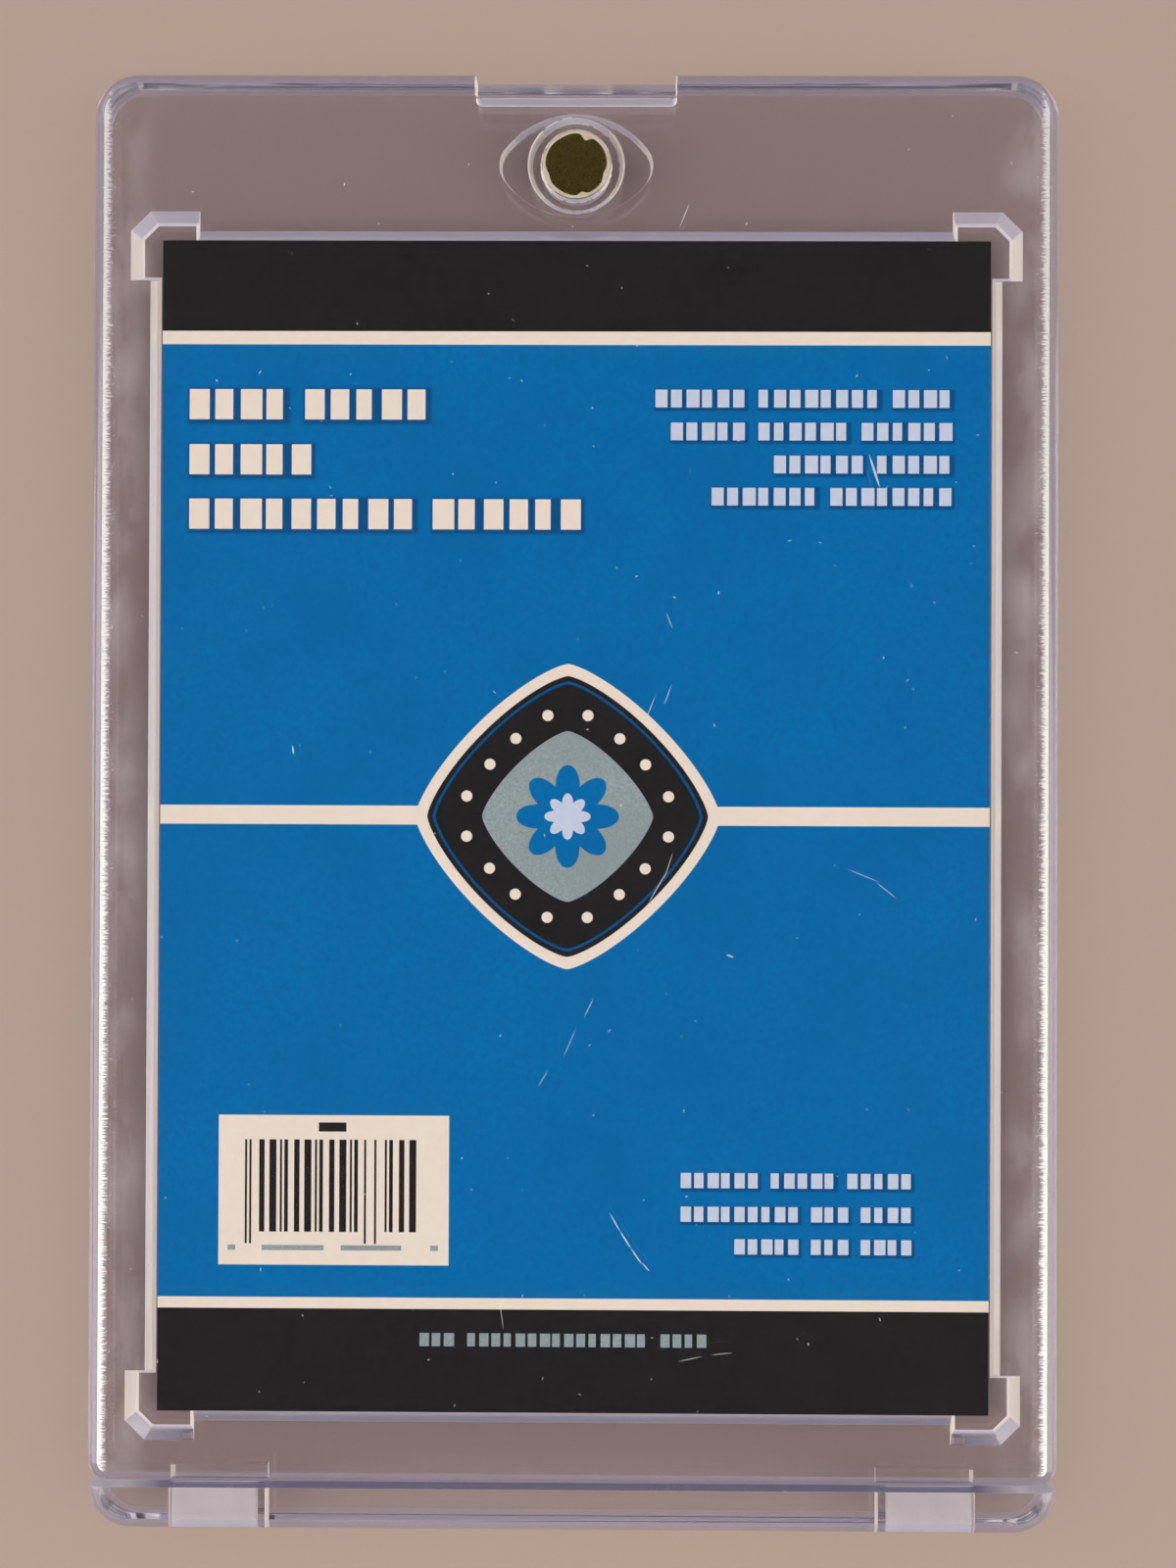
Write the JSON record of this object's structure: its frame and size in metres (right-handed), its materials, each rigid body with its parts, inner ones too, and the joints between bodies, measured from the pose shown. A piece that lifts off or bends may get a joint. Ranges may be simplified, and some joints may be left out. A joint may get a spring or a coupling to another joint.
{
  "type": "magnetic card holder",
  "caption": "Clear rigid two-part holder for one trading card, with a hinged lid held shut by magnets and a printed insert card inside.",
  "frame": {"origin": "centre of the box at the back face that it lies on", "axes": "+Z out of the front face, +Y towards the magnet end, +X to the right as seen from the front"},
  "size_m": [0.0724, 0.1088, 0.0068],
  "materials": {
    "base_plastic": "clear polished, faint lavender edge",
    "lid_plastic": "clear polished, frosted on the two hook tabs",
    "magnet_gold": "gold-coloured plating",
    "clear_glue": "clear set glue",
    "insert_print": "coated card printed blue, black and cream"
  },
  "bodies": {
    "base": {"base": "base_plastic", "base_magnet": "magnet_gold", "base_glue": "clear_glue", "insert_card": "insert_print"},
    "lid": {"lid": "lid_plastic", "lid_magnet": "magnet_gold", "lid_glue": "clear_glue"}
  },
  "joints": [
    {"name": "lid_hinge", "type": "hinge", "parent": "base", "child": "lid", "pos_m": [0, -0.05055, 0.0056], "axis": [1, 0, 0], "range_deg": [0, 30]}
  ]
}
